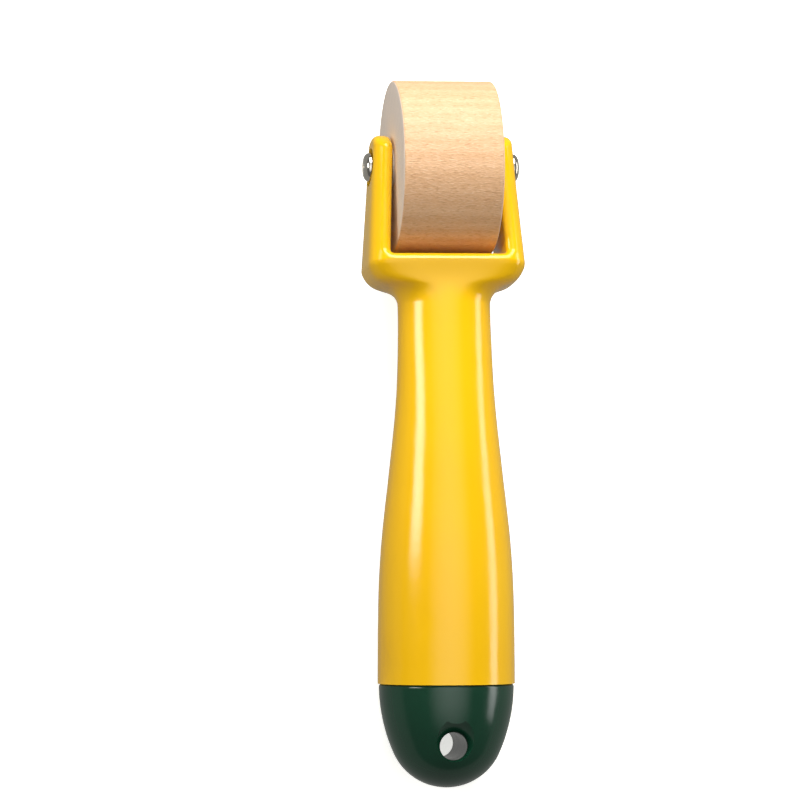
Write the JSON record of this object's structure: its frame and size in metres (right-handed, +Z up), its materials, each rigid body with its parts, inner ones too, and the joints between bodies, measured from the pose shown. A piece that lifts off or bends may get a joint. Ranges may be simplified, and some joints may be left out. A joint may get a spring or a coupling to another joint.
{
  "type": "hand brayer",
  "caption": "Hand brayer: turned wooden roller spinning in the fork of a moulded plastic handle, closed by a domed end cap with a hanging hole.",
  "frame": {"origin": "middle of the tool's bounding box, on the surface that it lies on", "axes": "+X along the axle to the right arm, +Y from the end cap to the roller, +Z up from the surface; the tool lies on its back"},
  "size_m": [0.0346, 0.1544, 0.038],
  "materials": {
    "handle_plastic": "glossy moulded yellow plastic",
    "cap_plastic": "glossy moulded dark green plastic",
    "roller_wood": "turned and sanded beech, unvarnished",
    "bush_nylon": "natural white nylon",
    "plated_steel": "bright nickel-plated steel"
  },
  "bodies": {
    "handle_body": {"handle": "handle_plastic", "end_cap": "cap_plastic", "axle_barrel": "plated_steel", "axle_screw": "plated_steel", "left_washer": "plated_steel", "right_washer": "plated_steel"},
    "roller_body": {"roller": "roller_wood", "left_bush": "bush_nylon", "right_bush": "bush_nylon"}
  },
  "joints": [
    {"name": "roller_spin", "type": "hinge", "parent": "handle_body", "child": "roller_body", "pos_m": [0, 0.05815, 0.019], "axis": [1, 0, 0], "continuous": true}
  ]
}
